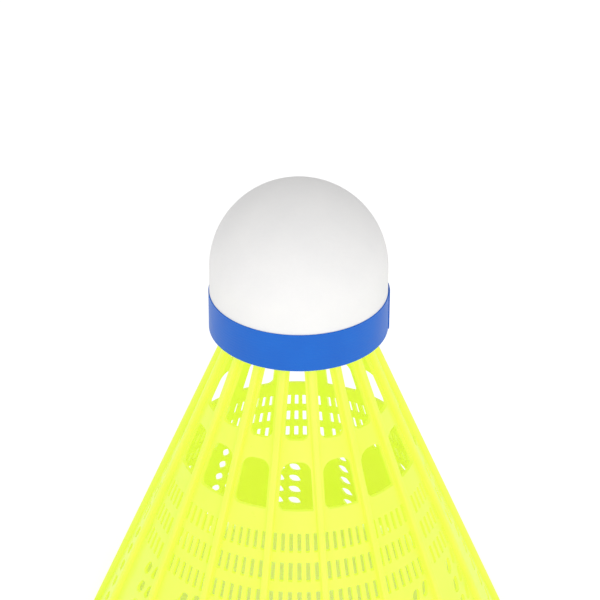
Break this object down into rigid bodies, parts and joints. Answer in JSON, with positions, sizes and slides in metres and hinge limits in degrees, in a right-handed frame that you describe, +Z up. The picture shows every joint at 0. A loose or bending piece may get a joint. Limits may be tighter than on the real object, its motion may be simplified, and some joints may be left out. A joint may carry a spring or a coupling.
{
  "type": "badminton_shuttlecock",
  "caption": "Nylon badminton shuttlecock: a domed cork head with a white skin and blue foot ribbon on a flared ribbed skirt with windows and a fine net.",
  "frame": {"origin": "Centre of the skirt's open rim, in the plane of the rim, on which the shuttlecock stands.", "axes": "+Z runs up the axis to the top of the head; -Y is a horizontal direction through the middle of a bay."},
  "size_m": [0.0652, 0.0652, 0.0781],
  "materials": {
    "cork": "rough natural cork, pale brown",
    "white_skin": "matte white synthetic leather with a fine grain",
    "blue_ribbon": "smooth satin blue ribbon",
    "yellow_nylon": "fluorescent yellow translucent nylon, semi-gloss"
  },
  "bodies": {
    "root": {"cork_core": "cork", "head_cover": "white_skin", "blue_band": "blue_ribbon", "nylon_skirt": "yellow_nylon"}
  },
  "joints": []
}
